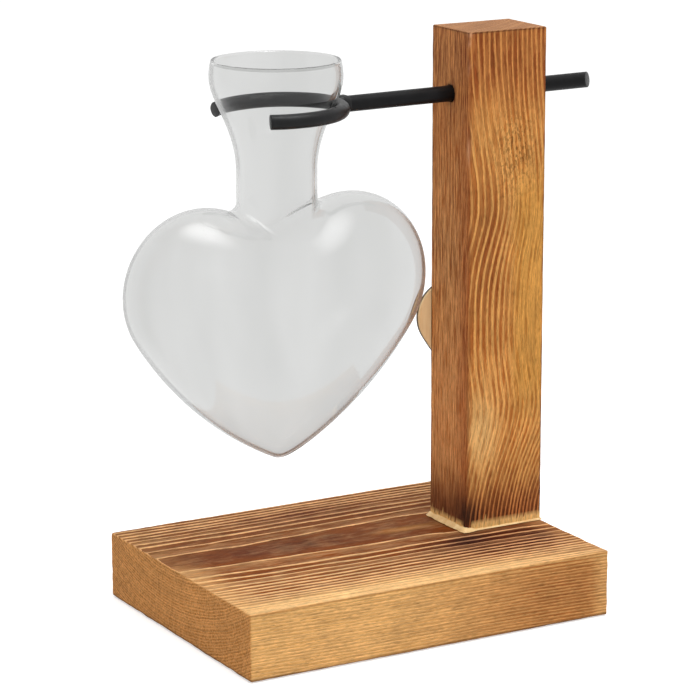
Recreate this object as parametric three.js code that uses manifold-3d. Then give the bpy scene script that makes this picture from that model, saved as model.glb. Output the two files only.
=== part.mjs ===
// A heart-shaped glass vase that hangs by its flared neck in an open steel ring. The ring is welded
// to a rod, and the rod turns in a bore through a torched pine post on a torched pine base.
// Millimetres, +Z up. The origin is the centre of the base's underside. +X runs along the rod from
// the ring to the post, and +Y points to the side that carries the small wooden heart.
import * as THREE from "three";
import { mergeVertices } from "three/addons/utils/BufferGeometryUtils.js";
import Module from "manifold-3d";

const wasm = await Module();
wasm.setup();

// Clearances
const fitGap = 0.3; // between a piece and the hole or neighbour that it is fitted to
const seatGap = 0.2; // between the glass and the ring that it rests on

// Base board
const baseLength = 150.5;
const baseDepth = 113;
const baseThickness = 25;
const baseEdge = 0.8; // easing of every edge

// Post
const postWidth = 33.8;
const postDepth = 26;
const postHeight = 190;
const postEdge = 0.5;
const postShift = 2.8; // from the middle of the base's depth towards +Y

// Dried glue round the post's foot
const beadWidth = 1.5;
const beadHeight = 1.5;
const beadWaist = 0.55; // of its hollow face, out from the post and up from the base

// Countersunk wood screws, driven up through the base into the post
const screwLength = 45;
const screwDiameter = 4;
const screwHeadDiameter = 8;
const screwTipLength = 5;
const screwSpacing = 16;
const screwSink = 0.8; // depth of the head below the base's underside
const recessWidth = 1.1;
const recessSpan = 4.2;
const recessDepth = 1.6;

// Rod
const rodDiameter = 6;
const rodDrop = 23.9; // from the post's top down to the rod's axis, at the post's middle
const rodSlope = 0.5; // degrees that the rod slopes down from the post to the ring
const rodProud = 27.2; // past the post's outer face, to the middle of the cropped end
const rodCropAcross = 6; // how much further the cropped end reaches at its +Y side
const rodCropDown = 1; // how much further it reaches at its underside
const rodChamfer = 0.6;

// Ring
const ringRadius = 23.8; // to the middle of the wire
const ringWire = 5.4;
const ringRise = 0.4; // of the wire above the rod's axis, at the weld
const ringBend = 0.7; // degrees that the ring is bent down from the rod at the weld
const nearArmReach = 12; // past the ring's centre, on the -Y side
const farArmReach = 15.6; // past the ring's centre, on the +Y side

// Weld between the ring and the rod
const weldLength = 2.2; // from the ring's outer side to the rod's end
const weldLap = 1.8; // how far it laps over the ring
const weldProud = 0.5; // of the rod's surface

// Glass vase, measured up from its tip
const glassWall = 1.4;
const lobeRadius = 30.9;
const lobeOffset = 30.9; // from the vase's axis to the middle of a lobe
const lobeHeight = 65.5; // to the middle of a lobe
const flankRadius = 127; // of the long curve from a lobe down to the tip
const tipRadius = 7;
const bodyDepth = 54; // of the heart, front to back
const bodyFullness = 0.9; // exponent of the plan's outline: 1 is an ellipse, and less is squarer
const keelFlat = 11; // how far the blunt tip runs out, seen from the side
const keelRise = 38; // height at which the side is nearly upright
const shoulderTurn = 0.7; // share of the cleft's rise at which the front turns in to the neck
const shoulderRunout = 0.35; // share of the cleft's rise that runs out into the neck
const neckRadius = 14.75;
const neckFillet = 4; // where the neck runs out onto the lobes
const cleftDrop = 10; // how far lower the neck ends between the lobes
const neckLength = 9; // of the straight part, over the lobes
const flareLength = 34;
const flareStart = 16; // how far the flare's curve leans on the straight neck
const flareEnd = 9.2; // how far it leans on its widest part
const bulgeRadius = 24.2;
const lipRise = 6.3; // from the widest part of the flare to the rim
const rimRadius = 23.5;
const vaseTurn = 3; // degrees that the vase hangs turned about its neck
const heartToPost = 11.3; // free space between the heart and the post

// Wooden heart on the post's far side
const plaqueThickness = 2;
const plaqueLobeRadius = 13;
const plaqueLobeOffset = 9.25;
const plaqueFlankRadius = 90;
const plaqueTipRadius = 1;
const plaqueLobeHeight = 29.5; // from the tip to the middle of a lobe
const plaqueTipHeight = 49; // above the base

// Fineness of the facets
const vaseSides = 40;
const bodyRings = 24;
const neckRings = 16;
const lipRings = 3;
const wireSides = 16;
const ringSteps = 48;
const roundSides = 24;
const arcSteps = 16;
const edgeSteps = 3;
const seatSteps = 400;

// Places worked out from the sizes
const postLeft = baseLength / 2 - postWidth;
const postMiddle = postLeft + postWidth / 2;
const postBack = postShift + postDepth / 2;
const postTop = baseThickness + postHeight;
const rodHeight = postTop - rodDrop;
const rodRadius = rodDiameter / 2;
const wireRadius = ringWire / 2;
const vaseMiddle = postLeft - heartToPost - lobeOffset - lobeRadius;
const rodTilt = THREE.MathUtils.degToRad(rodSlope);
const armLength = postMiddle - vaseMiddle; // from the post's middle to the ring's centre
const weldDrop = (armLength - ringRadius) * Math.sin(rodTilt); // of the rod's axis, from the post
const seatHeight = rodHeight - weldDrop + ringRise; // of the wire's middle at the weld

function material(color, roughness, metalness = 0) {
  return new THREE.MeshStandardMaterial({ color, roughness, metalness });
}

const materials = {
  base: material(0xb9814a, 0.7),
  post: material(0xb4783f, 0.7),
  glue: material(0xd9b678, 0.45),
  ply: material(0xcda674, 0.75),
  steel: material(0x222426, 0.45, 0.4),
  screw: material(0xb9b18f, 0.35, 0.9),
  glass: new THREE.MeshStandardMaterial({
    color: 0xe8eeee,
    roughness: 0.03,
    metalness: 0,
    transparent: true,
    opacity: 0.35,
  }),
};

// Booleans

// A geometry as a solid, once its normals and uvs are gone and its vertices are shared.
function solid(geometry) {
  const bare = geometry.clone();
  bare.deleteAttribute("normal");
  bare.deleteAttribute("uv");
  const merged = mergeVertices(bare, 1e-4);
  return new wasm.Manifold(
    new wasm.Mesh({
      numProp: 3,
      vertProperties: merged.attributes.position.array,
      triVerts: new Uint32Array(merged.index.array),
    }),
  );
}

function geometryOf(manifold) {
  const result = manifold.getMesh();
  const geometry = new THREE.BufferGeometry();
  geometry.setAttribute("position", new THREE.BufferAttribute(result.vertProperties, 3));
  geometry.setIndex(new THREE.BufferAttribute(result.triVerts, 1));
  return geometry;
}

function cut(geometry, ...tools) {
  const rest = tools.reduce((body, tool) => body.subtract(solid(tool)), solid(geometry));
  return geometryOf(rest);
}

// Shapes

function roundedRectangle(width, depth, radius) {
  const x = width / 2;
  const y = depth / 2;
  const shape = new THREE.Shape();
  shape.moveTo(-x + radius, -y);
  shape.lineTo(x - radius, -y);
  shape.absarc(x - radius, -y + radius, radius, -Math.PI / 2, 0);
  shape.lineTo(x, y - radius);
  shape.absarc(x - radius, y - radius, radius, 0, Math.PI / 2);
  shape.lineTo(-x + radius, y);
  shape.absarc(-x + radius, y - radius, radius, Math.PI / 2, Math.PI);
  shape.lineTo(-x, -y + radius);
  shape.absarc(-x + radius, -y + radius, radius, Math.PI, 1.5 * Math.PI);
  return shape;
}

// A block that stands on z = 0, with every edge eased.
function easedBlock(width, depth, height, edge) {
  const outline = roundedRectangle(width - 2 * edge, depth - 2 * edge, edge);
  const block = new THREE.ExtrudeGeometry(outline, {
    depth: height - 2 * edge,
    bevelThickness: edge,
    bevelSize: edge,
    bevelSegments: edgeSteps,
    curveSegments: edgeSteps + 1,
  });
  return block.translate(0, 0, edge);
}

// A cylinder along +Z that starts at z = 0.
function roundBar(radius, length, sides = roundSides) {
  const bar = new THREE.CylinderGeometry(radius, radius, length, sides);
  return bar.rotateX(Math.PI / 2).translate(0, 0, length / 2);
}

// The right half of a heart, from the middle of its lobe's arc down to the tip at (0, 0): the arcs
// of the lobe, the flank and the tip, each tangent to the next.
function heartArcs(lobe, offset, height, flank, tip) {
  const lobeCentre = new THREE.Vector2(offset, height);
  const tipCentre = new THREE.Vector2(0, tip);
  const toTip = tipCentre.clone().sub(lobeCentre);
  const apart = toTip.length();
  const along = ((flank - lobe) ** 2 - (flank - tip) ** 2 + apart ** 2) / (2 * apart);
  const aside = Math.sqrt((flank - lobe) ** 2 - along ** 2);
  toTip.normalize();
  const flankCentre = lobeCentre
    .clone()
    .addScaledVector(toTip, along)
    .addScaledVector(new THREE.Vector2(toTip.y, -toTip.x), aside);
  return {
    lobeCentre,
    flankCentre,
    tipCentre,
    lobeEnd: lobeCentre.clone().sub(flankCentre).angle() - 2 * Math.PI,
    flankEnd: tipCentre.clone().sub(flankCentre).angle() - 2 * Math.PI,
  };
}

// Rows of points joined into one skin. Each row is a closed loop. A pole closes the first row, and
// another closes the last one where it is given.
function skin(rows, firstPole, lastPole) {
  const sides = rows[0].length;
  const points = [firstPole, ...rows.flat()];
  const at = (row, side) => 1 + row * sides + (side % sides);
  const faces = [];
  for (let side = 0; side < sides; side++) {
    faces.push(0, at(0, side + 1), at(0, side));
    for (let row = 0; row + 1 < rows.length; row++) {
      faces.push(at(row, side), at(row, side + 1), at(row + 1, side + 1));
      faces.push(at(row, side), at(row + 1, side + 1), at(row + 1, side));
    }
    if (lastPole) {
      faces.push(points.length, at(rows.length - 1, side), at(rows.length - 1, side + 1));
    }
  }
  if (lastPole) {
    points.push(lastPole);
  }
  return new THREE.BufferGeometry().setFromPoints(points).setIndex(faces);
}

// A bar swept round a closed outline: rows of loops, with the last row joined to the first.
function closedFrame(rows) {
  const sides = rows[0].length;
  const at = (row, side) => (row % rows.length) * sides + (side % sides);
  const faces = [];
  for (let row = 0; row < rows.length; row++) {
    for (let side = 0; side < sides; side++) {
      faces.push(at(row, side), at(row, side + 1), at(row + 1, side + 1));
      faces.push(at(row, side), at(row + 1, side + 1), at(row + 1, side));
    }
  }
  return new THREE.BufferGeometry().setFromPoints(rows.flat()).setIndex(faces);
}

// Stand

const screwPlaces = [-1, 1].map((side) => postMiddle + (side * screwSpacing) / 2);
const headRadius = screwHeadDiameter / 2;
const shankRadius = screwDiameter / 2;
const coneHeight = headRadius - shankRadius;

// The room that a screw needs: its own outline grown by the fit gap, open at the base's underside.
function screwRoom() {
  const wide = headRadius + fitGap;
  const narrow = shankRadius + fitGap;
  const below = -screwSink - baseEdge;
  const profile = [
    [0, below],
    [wide, below],
    [wide, fitGap],
    [narrow, coneHeight + fitGap],
    [narrow, screwLength + fitGap],
    [0, screwLength + fitGap],
  ];
  return new THREE.LatheGeometry(
    profile.map(([r, z]) => new THREE.Vector2(r, z)),
    roundSides,
  ).rotateX(Math.PI / 2);
}

function screwRooms(x, y, z) {
  return screwPlaces.map((place) => screwRoom().translate(place - x, postShift - y, screwSink - z));
}

function baseBoard() {
  const board = easedBlock(baseLength, baseDepth, baseThickness, baseEdge);
  return cut(board, ...screwRooms(0, 0, 0));
}

function post() {
  const block = easedBlock(postWidth, postDepth, postHeight, postEdge);
  const bore = roundBar(rodRadius + fitGap, 2 * postWidth)
    .rotateY(Math.PI / 2)
    .translate(-postWidth, 0, 0)
    .rotateY(-rodTilt)
    .translate(0, 0, rodHeight - baseThickness);
  return cut(block, bore, ...screwRooms(postMiddle, postShift, baseThickness));
}

// A countersunk screw with its head at z = 0 and its point up.
function woodScrew() {
  const profile = [
    [0, 0],
    [headRadius, 0],
    [shankRadius, coneHeight],
    [shankRadius, screwLength - screwTipLength],
    [0, screwLength],
  ];
  const body = new THREE.LatheGeometry(
    profile.map(([r, z]) => new THREE.Vector2(r, z)),
    roundSides,
  ).rotateX(Math.PI / 2);
  const slots = [
    new THREE.BoxGeometry(recessSpan, recessWidth, 2 * recessDepth),
    new THREE.BoxGeometry(recessWidth, recessSpan, 2 * recessDepth),
  ];
  return cut(body, ...slots);
}

// A thin bead round the post's foot, with a hollow face.
function glueBead() {
  const section = [
    [fitGap, 0],
    [fitGap + beadWidth, 0],
    [fitGap + beadWaist, beadWaist],
    [fitGap, beadHeight],
  ];
  const rows = section.map(([out, z]) => {
    const outline = roundedRectangle(postWidth + 2 * out, postDepth + 2 * out, postEdge + out);
    const loop = outline.extractPoints(edgeSteps + 1).shape.slice(0, -1);
    return loop.map((p) => new THREE.Vector3(p.x, p.y, z));
  });
  return closedFrame(rows);
}

function heartPlaque() {
  const arcs = heartArcs(
    plaqueLobeRadius,
    plaqueLobeOffset,
    plaqueLobeHeight,
    plaqueFlankRadius,
    plaqueTipRadius,
  );
  const cleft = Math.acos(-plaqueLobeOffset / plaqueLobeRadius);
  const down = -Math.PI / 2;
  const shape = new THREE.Shape();
  shape.absarc(arcs.lobeCentre.x, arcs.lobeCentre.y, plaqueLobeRadius, cleft, arcs.lobeEnd, true);
  shape.absarc(
    arcs.flankCentre.x,
    arcs.flankCentre.y,
    plaqueFlankRadius,
    arcs.lobeEnd,
    arcs.flankEnd,
    true,
  );
  shape.absarc(0, plaqueTipRadius, plaqueTipRadius, arcs.flankEnd, down, true);
  const right = shape.extractPoints(arcSteps).shape;
  const left = right.slice(1, -1).reverse();
  const outline = [...right, ...left.map((p) => new THREE.Vector2(-p.x, p.y))];
  const plate = new THREE.ExtrudeGeometry(new THREE.Shape(outline), {
    depth: plaqueThickness,
    bevelEnabled: false,
  });
  return plate.rotateX(Math.PI / 2).translate(0, plaqueThickness, 0);
}

// Hanger, from the ring's centre: +X along the rod to the post

// Steel wire bent to an open ring, its ends cropped square to the rod.
function hangerRing(radius = wireRadius) {
  const wire = new THREE.TorusGeometry(ringRadius, radius, wireSides, ringSteps);
  const outer = ringRadius + ringWire;
  const waste = (side, armReach) =>
    new THREE.BoxGeometry(outer, outer + ringWire, 2 * ringWire).translate(
      -armReach - outer / 2,
      (side * outer) / 2,
      0,
    );
  return cut(wire, waste(-1, nearArmReach), waste(1, farArmReach));
}

// The ring as it sits on the weld: raised a little, and bent down about the weld.
function seated(part) {
  return part.translate(-ringRadius, 0, 0).rotateY(-bend).translate(ringRadius, 0, ringRise);
}

const bend = THREE.MathUtils.degToRad(ringBend);
const weldEnd = ringRadius + wireRadius + weldLength;
const rodStart = weldEnd + fitGap;
const rodEnd = baseLength / 2 + rodProud - vaseMiddle;

// Round bar with a square, chamfered end at the weld and a sloping, cropped end past the post.
function hangerRod() {
  const length = rodEnd - rodStart;
  const profile = [
    [0, 0],
    [rodRadius - rodChamfer, 0],
    [rodRadius, rodChamfer],
    [rodRadius, length + rodCropAcross + rodCropDown],
    [0, length + rodCropAcross + rodCropDown],
  ];
  const bar = new THREE.LatheGeometry(
    profile.map(([r, z]) => new THREE.Vector2(r, z)),
    roundSides,
  ).rotateZ(-Math.PI / 2);
  const size = 2 * (rodDiameter + rodCropAcross + rodCropDown);
  const waste = new THREE.BoxGeometry(size, size, size)
    .translate(size / 2, 0, 0)
    .rotateY(Math.atan(rodCropDown / rodDiameter))
    .rotateZ(-Math.atan(rodCropAcross / rodDiameter))
    .translate(length, 0, 0);
  return cut(bar, waste).translate(rodStart, 0, 0);
}

// The bead of weld between the ring's outer side, which it laps over, and the rod's end.
function weldBead() {
  const start = ringRadius + wireRadius - weldLap;
  const crown = rodRadius + weldProud;
  const outline = new THREE.Shape();
  outline.moveTo(0, start);
  outline.lineTo(rodRadius - weldProud, start);
  outline.bezierCurveTo(crown, start, crown, weldEnd - weldProud, rodRadius - rodChamfer, weldEnd);
  outline.lineTo(0, weldEnd);
  const points = outline.extractPoints(edgeSteps + 2).shape;
  const bead = new THREE.LatheGeometry(points, roundSides).rotateZ(-Math.PI / 2);
  return cut(bead, seated(hangerRing(wireRadius + fitGap)));
}

// Glass

const heart = heartArcs(lobeRadius, lobeOffset, lobeHeight, flankRadius, tipRadius);
const filletAcross = lobeOffset - neckRadius - neckFillet;
const filletHeight = lobeHeight + Math.sqrt((lobeRadius + neckFillet) ** 2 - filletAcross ** 2);
const cleftHeight = filletHeight - cleftDrop;
const flareHeight = filletHeight + neckLength;
const bulgeHeight = flareHeight + flareLength;
const lipRadius = glassWall / 2;

// Half of the heart seen from the front, from the tip to the neck's root.
function frontProfile() {
  const leave = Math.atan2(filletHeight - lobeHeight, -filletAcross);
  const path = new THREE.Path();
  path.absarc(0, tipRadius, tipRadius, -Math.PI / 2, heart.flankEnd);
  const { flankCentre, lobeCentre } = heart;
  path.absarc(flankCentre.x, flankCentre.y, flankRadius, heart.flankEnd, heart.lobeEnd);
  path.absarc(lobeCentre.x, lobeCentre.y, lobeRadius, heart.lobeEnd, leave);
  path.absarc(
    neckRadius + neckFillet,
    filletHeight,
    neckFillet,
    leave - Math.PI,
    -Math.PI,
    true,
  );
  return path;
}

// Half of the heart seen from the side, where it passes between the lobes.
function sideProfile() {
  const depth = bodyDepth / 2;
  const rise = cleftHeight - lobeHeight;
  const path = new THREE.Path();
  path.moveTo(0, 0);
  path.bezierCurveTo(keelFlat, 0, depth, keelRise, depth, lobeHeight);
  path.bezierCurveTo(
    depth,
    lobeHeight + shoulderTurn * rise,
    neckRadius,
    cleftHeight - shoulderRunout * rise,
    neckRadius,
    cleftHeight,
  );
  return path;
}

// The neck's outside, from the root to the rim.
function neckProfile() {
  const path = new THREE.Path();
  path.moveTo(neckRadius, filletHeight);
  path.lineTo(neckRadius, flareHeight);
  path.bezierCurveTo(
    neckRadius,
    flareHeight + flareStart,
    bulgeRadius,
    bulgeHeight - flareEnd,
    bulgeRadius,
    bulgeHeight,
  );
  path.quadraticCurveTo(
    bulgeRadius,
    bulgeHeight + lipRise / 2,
    rimRadius,
    bulgeHeight + lipRise - lipRadius,
  );
  return path;
}

// One level row of points: half-width across X, half-depth across Y, and the two heights.
function vaseRow(across, deep, fullness) {
  const row = [];
  for (let side = 0; side < vaseSides; side++) {
    const angle = (2 * Math.PI * side) / vaseSides;
    const c = Math.cos(angle);
    const s = Math.sin(angle);
    row.push(
      new THREE.Vector3(
        across.x * Math.sign(c) * Math.abs(c) ** fullness,
        deep.x * Math.sign(s) * Math.abs(s) ** fullness,
        across.y * c * c + deep.y * s * s,
      ),
    );
  }
  return row;
}

// The outside of the glass in rows, from just above the tip to the rim.
function outerRows() {
  const front = frontProfile();
  const side = sideProfile();
  const neck = neckProfile();
  const rows = [];
  for (let ring = 1; ring <= bodyRings; ring++) {
    const part = ring / bodyRings;
    const fullness = 1 - (1 - bodyFullness) * Math.sin(Math.PI * part) ** 2;
    rows.push(vaseRow(front.getPointAt(part), side.getPointAt(part), fullness));
  }
  for (let ring = 1; ring <= neckRings; ring++) {
    const point = neck.getPointAt(ring / neckRings);
    const lag = cleftDrop * Math.max(0, 1 - (point.y - filletHeight) / neckLength);
    rows.push(vaseRow(point, new THREE.Vector2(point.x, point.y - lag), 1));
  }
  return rows;
}

// The shell of glass: its outside, a round lip, and an inside one wall's thickness in.
function glassVase() {
  const outer = outerRows();
  const tip = new THREE.Vector3(0, 0, 0);
  const outside = skin(outer, tip);
  outside.computeVertexNormals();
  const normals = outside.attributes.normal;
  const inner = outer.map((row, r) =>
    row.map((point, side) => {
      const normal = new THREE.Vector3().fromBufferAttribute(normals, 1 + r * vaseSides + side);
      return point.clone().addScaledVector(normal, -glassWall);
    }),
  );
  const lip = [];
  for (let ring = 1; ring <= lipRings; ring++) {
    const angle = (Math.PI * ring) / (lipRings + 1);
    lip.push(
      outer.at(-1).map((point, side) => {
        const middle = point.clone().lerp(inner.at(-1)[side], 0.5);
        const half = point.clone().sub(middle);
        const rise = new THREE.Vector3(0, 0, lipRadius * Math.sin(angle));
        return middle.addScaledVector(half, Math.cos(angle)).add(rise);
      }),
    );
  }
  const innerTip = new THREE.Vector3(0, 0, glassWall);
  return skin([...outer, ...lip, ...inner.reverse()], tip, innerTip);
}

// How high the vase's tip hangs: the flare sinks into the ring until the glass meets the wire.
function vaseHang() {
  const touch = wireRadius + seatGap;
  const neck = neckProfile().getSpacedPoints(seatSteps);
  const resting = neck.filter((p) => p.y > flareHeight && p.y < bulgeHeight);
  const heights = resting
    .filter((p) => Math.abs(ringRadius - p.x) < touch)
    .map((p) => seatHeight + Math.sqrt(touch ** 2 - (ringRadius - p.x) ** 2) - p.y);
  return Math.max(...heights);
}

// Assembly

function piece(name, geometry, look) {
  const mesh = new THREE.Mesh(geometry, look);
  mesh.name = name;
  return mesh;
}

const stand = new THREE.Group();
stand.add(piece("base_board", baseBoard(), materials.base));

const upright = new THREE.Group();
upright.position.set(postMiddle, postShift, baseThickness);
upright.add(piece("post", post(), materials.post));
upright.add(piece("glue_bead", glueBead(), materials.glue));
stand.add(upright);

["foot_screw_inner", "foot_screw_outer"].forEach((name, index) => {
  const screw = piece(name, woodScrew(), materials.screw);
  screw.position.set(screwPlaces[index], postShift, screwSink);
  stand.add(screw);
});

const plaque = piece("heart_plaque", heartPlaque(), materials.ply);
plaque.position.set(postMiddle, postBack, baseThickness + plaqueTipHeight);
stand.add(plaque);

const hanger = new THREE.Group();
hanger.position.set(postMiddle, postShift, rodHeight);
hanger.rotation.y = -rodTilt;
[
  piece("hanger_rod", hangerRod(), materials.steel),
  piece("weld_bead", weldBead(), materials.steel),
  piece("hanger_ring", seated(hangerRing()), materials.steel),
].forEach((mesh) => {
  mesh.position.x = -armLength;
  hanger.add(mesh);
});

const vase = piece("glass_vase", glassVase(), materials.glass);
vase.position.set(vaseMiddle, postShift, vaseHang());
vase.rotation.z = THREE.MathUtils.degToRad(vaseTurn);

const hangingVase = new THREE.Group();
hangingVase.add(stand, hanger, vase);

export default hangingVase;
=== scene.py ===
"""Looks of the hanging vase: a blown glass heart in a black steel ring on a torched pine stand."""

import contextlib
import math

import bmesh
import bpy
import numpy as np
from mathutils import Matrix, Vector


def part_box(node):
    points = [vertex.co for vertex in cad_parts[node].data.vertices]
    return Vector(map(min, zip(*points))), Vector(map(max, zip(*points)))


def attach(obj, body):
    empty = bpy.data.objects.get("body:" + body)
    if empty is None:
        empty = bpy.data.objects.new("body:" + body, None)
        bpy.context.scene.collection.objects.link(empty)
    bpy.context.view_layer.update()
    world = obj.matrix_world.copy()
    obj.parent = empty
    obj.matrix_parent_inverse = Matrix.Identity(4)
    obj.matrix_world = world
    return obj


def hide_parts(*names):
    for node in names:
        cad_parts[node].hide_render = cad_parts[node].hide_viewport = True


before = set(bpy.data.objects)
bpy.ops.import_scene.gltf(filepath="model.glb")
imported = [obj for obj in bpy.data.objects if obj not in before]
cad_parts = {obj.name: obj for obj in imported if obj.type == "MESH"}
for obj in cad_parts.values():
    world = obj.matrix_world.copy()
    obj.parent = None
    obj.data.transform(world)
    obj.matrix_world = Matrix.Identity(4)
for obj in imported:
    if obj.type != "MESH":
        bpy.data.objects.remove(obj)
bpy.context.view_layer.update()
scene = bpy.context.scene

MM = 0.001  # the pieces below are shaped in millimetres, in the row frame
BOARD_TOP, BOARD_FRONT = 25, -56.5
POST_LEFT, POST_RIGHT = 41.45, 75.25
POST_FRONT = -10.2
ROD_X, ROD_Y, ROD_Z = 58.35, 2.8, 191.1  # where the rod's axis crosses the post's middle
ROD_SLOPE = math.radians(0.5)
ROD_RADIUS, BORE_RADIUS = 3.0, 3.3
SCREWS = ("foot_screw_inner", "foot_screw_outer")


# Meshes


def added(name, data):
    """A mesh, a lamp or a camera as an object in the scene."""
    obj = bpy.data.objects.new(name, data)
    scene.collection.objects.link(obj)
    return obj


def shade_smooth(mesh):
    mesh.polygons.foreach_set("use_smooth", [True] * len(mesh.polygons))


def mesh_object(name, points, faces):
    """A mesh object from points in millimetres, one by one or in rows."""
    mesh = bpy.data.meshes.new(name)
    points = np.asarray(points, float).reshape(-1, 3) * MM
    mesh.from_pydata(points.tolist(), [], [list(f) for f in faces])
    mesh.update()
    shade_smooth(mesh)
    return added(name, mesh)


@contextlib.contextmanager
def opened(mesh, source=None):
    """A mesh, filled from another one if given, open to bmesh's operators and then written back."""
    bm = bmesh.new()
    bm.from_mesh(source or mesh)
    yield bm
    bm.to_mesh(mesh)
    bm.free()


def points_of(obj):
    """An object's points in millimetres."""
    flat = np.zeros(len(obj.data.vertices) * 3)
    obj.data.vertices.foreach_get("co", flat)
    return flat.reshape(-1, 3) / MM


def normals_of(obj):
    flat = np.zeros(len(obj.data.vertices) * 3)
    obj.data.vertices.foreach_get("normal", flat)
    return flat.reshape(-1, 3)


def set_points(obj, points):
    obj.data.vertices.foreach_set("co", (points * MM).ravel())
    obj.data.update()


def give(obj, **fields):
    """Numbers or colours at each point, which the material reads by name."""
    for name, values in fields.items():
        if values.ndim == 1:
            layer = obj.data.attributes.new(name, "FLOAT", "POINT")
            layer.data.foreach_set("value", values.astype(np.float32))
        else:
            layer = obj.data.attributes.new(name, "FLOAT_COLOR", "POINT")
            rgba = np.ones((len(values), 4), np.float32)
            rgba[:, :3] = values
            layer.data.foreach_set("color", rgba.ravel())


def around(sides):
    """The angles of points spaced evenly round a circle."""
    return np.linspace(0, 2 * math.pi, sides, endpoint=False)


def bar_rows(stations, sides):
    """Circles across the X axis, one a row. A station is its middle's X, Y and Z, and its radius."""
    return [
        [(x, y + r * math.cos(a), z + r * math.sin(a)) for a in around(sides)] for x, y, z, r in stations
    ]


def loops(rows, close_rows=False, cap=False):
    """Faces between rows of points, each row a closed loop."""
    count, sides = rows.shape[:2]
    faces = []
    for row in range(count if close_rows else count - 1):
        for side in range(sides):
            a, b = row * sides, ((row + 1) % count) * sides
            after = (side + 1) % sides
            faces.append((a + side, a + after, b + after, b + side))
    if cap:
        faces.append(tuple(reversed(range(sides))))
        faces.append(tuple((count - 1) * sides + i for i in range(sides)))
    return faces


def carve(obj, *tools):
    """Cuts the tools out of obj for good."""
    for tool in tools:
        cut = obj.modifiers.new("cut", "BOOLEAN")
        cut.operation = "DIFFERENCE"
        cut.solver = "EXACT"
        cut.object = tool
        evaluated = obj.evaluated_get(bpy.context.evaluated_depsgraph_get())
        result = bpy.data.meshes.new_from_object(evaluated)
        obj.modifiers.remove(cut)
        obj.data = result
        bpy.data.objects.remove(tool)


def tube(name, rows, **how):
    """A mesh object of rows of points, each row a closed loop."""
    rows = np.asarray(rows, float)
    return mesh_object(name, rows, loops(rows, **how))


# Smooth fields


def drift(points, reach, seed):
    """Smooth noise of about -1 to 1, whose waves are about reach millimetres long on each axis."""
    random = np.random.default_rng(seed)
    scaled = points / np.asarray(reach, float)
    total = np.zeros(len(points))
    for _ in range(10):
        way = random.normal(size=3)
        way *= random.uniform(0.6, 1.5) / np.linalg.norm(way)
        total += np.sin(2 * math.pi * (scaled @ way + random.uniform()))
    return total / 3


def rise(value, low, high):
    """0 before low, 1 after high, and smooth between them."""
    t = np.clip((value - low) / (high - low), 0, 1)
    return t * t * (3 - 2 * t)


def spot(points, centre, reach):
    """1 at the centre and fading to 0 at about twice the reach. A reach of None is endless."""
    total = np.zeros(len(points))
    for axis in range(3):
        if reach[axis] is not None:
            total += ((points[:, axis] - centre[axis]) / reach[axis]) ** 2
    return np.exp(-total)


def paint(red, green, blue):
    """A colour written 0 to 255, as the linear colour that nodes take."""
    c = np.array([red, green, blue]) / 255
    return np.where(c <= 0.04045, c / 12.92, ((c + 0.055) / 1.055) ** 2.4)


def coated(under, *coats):
    """A colour or a field of colours, with others laid over it one by one. Each coat is a colour
    written 0 to 255 and a field of how much of it shows."""
    for colour, amount in coats:
        amount = np.clip(amount, 0, 1)[:, None]
        under = under * (1 - amount) + paint(*colour) * amount
    return under


# Materials


class Nodes:
    """A node tree and a short way to write its nodes."""

    def __init__(self, tree):
        self.tree = tree
        self.tree.nodes.clear()

    def add(self, kind, inputs=None, **settings):
        """A node, of a kind named without its ShaderNode prefix."""
        node = self.tree.nodes.new("ShaderNode" + kind)
        for key, value in settings.items():
            setattr(node, key, value)
        for key, value in (inputs or {}).items():
            if isinstance(value, bpy.types.NodeSocket):
                self.tree.links.new(value, node.inputs[key])
            else:
                node.inputs[key].default_value = value
        return node

    def calc(self, operation, *values, clamp=False):
        inputs = dict(enumerate(values))
        return self.add("Math", inputs, operation=operation, use_clamp=clamp).outputs[0]

    def times(self, *values, clamp=False):
        return self.calc("MULTIPLY", *values, clamp=clamp)

    def scaled(self, value, factor, shift):
        return self.calc("MULTIPLY_ADD", value, factor, shift)

    def spread(self, value, low, high, to_low=0.0, to_high=1.0, smooth=False):
        kind = "SMOOTHSTEP" if smooth else "LINEAR"
        inputs = {"Value": value, "From Min": low, "From Max": high, "To Min": to_low, "To Max": to_high}
        return self.add("MapRange", inputs, interpolation_type=kind).outputs[0]


class Look(Nodes):
    """A material."""

    def __init__(self, name):
        self.material = bpy.data.materials.new(name)
        self.material.use_nodes = True
        super().__init__(self.material.node_tree)
        self.coordinates = self.add("TexCoord").outputs["Object"]

    def noise(self, scale, detail, roughness, seed, over=None):
        """Noise over the object, at so many waves per metre on each axis, or over other places."""
        shift = (seed, seed * 1.7, seed * 2.3)
        inputs = {"Vector": over or self.coordinates, "Scale": scale, "Location": shift}
        places = self.add("Mapping", inputs).outputs[0]
        inputs = {"Vector": places, "Scale": 1, "Detail": detail, "Roughness": roughness}
        return self.add("TexNoise", inputs).outputs["Fac"]

    def mix(self, amount, under, over, blend_type="MIX"):
        node = self.add("Mix", data_type="RGBA", blend_type=blend_type)
        for index, value in ((0, amount), (6, under), (7, over)):
            if isinstance(value, bpy.types.NodeSocket):
                self.tree.links.new(value, node.inputs[index])
            elif index:
                node.inputs[index].default_value = (*value, 1)
            else:
                node.inputs[index].default_value = value
        return node.outputs[2]

    def field(self, name, output="Fac"):
        return self.add("Attribute", attribute_name=name).outputs[output]

    def bump(self, height, distance, strength):
        """A bump whose distance is in millimetres."""
        inputs = {"Height": height, "Distance": distance * MM, "Strength": strength}
        return self.add("Bump", inputs).outputs[0]

    def finish(self, shader):
        self.add("OutputMaterial", {"Surface": shader})
        return self.material

    def surface(self, inputs):
        """Finishes the material with a Principled shader."""
        return self.finish(self.add("BsdfPrincipled", inputs).outputs[0])


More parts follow.
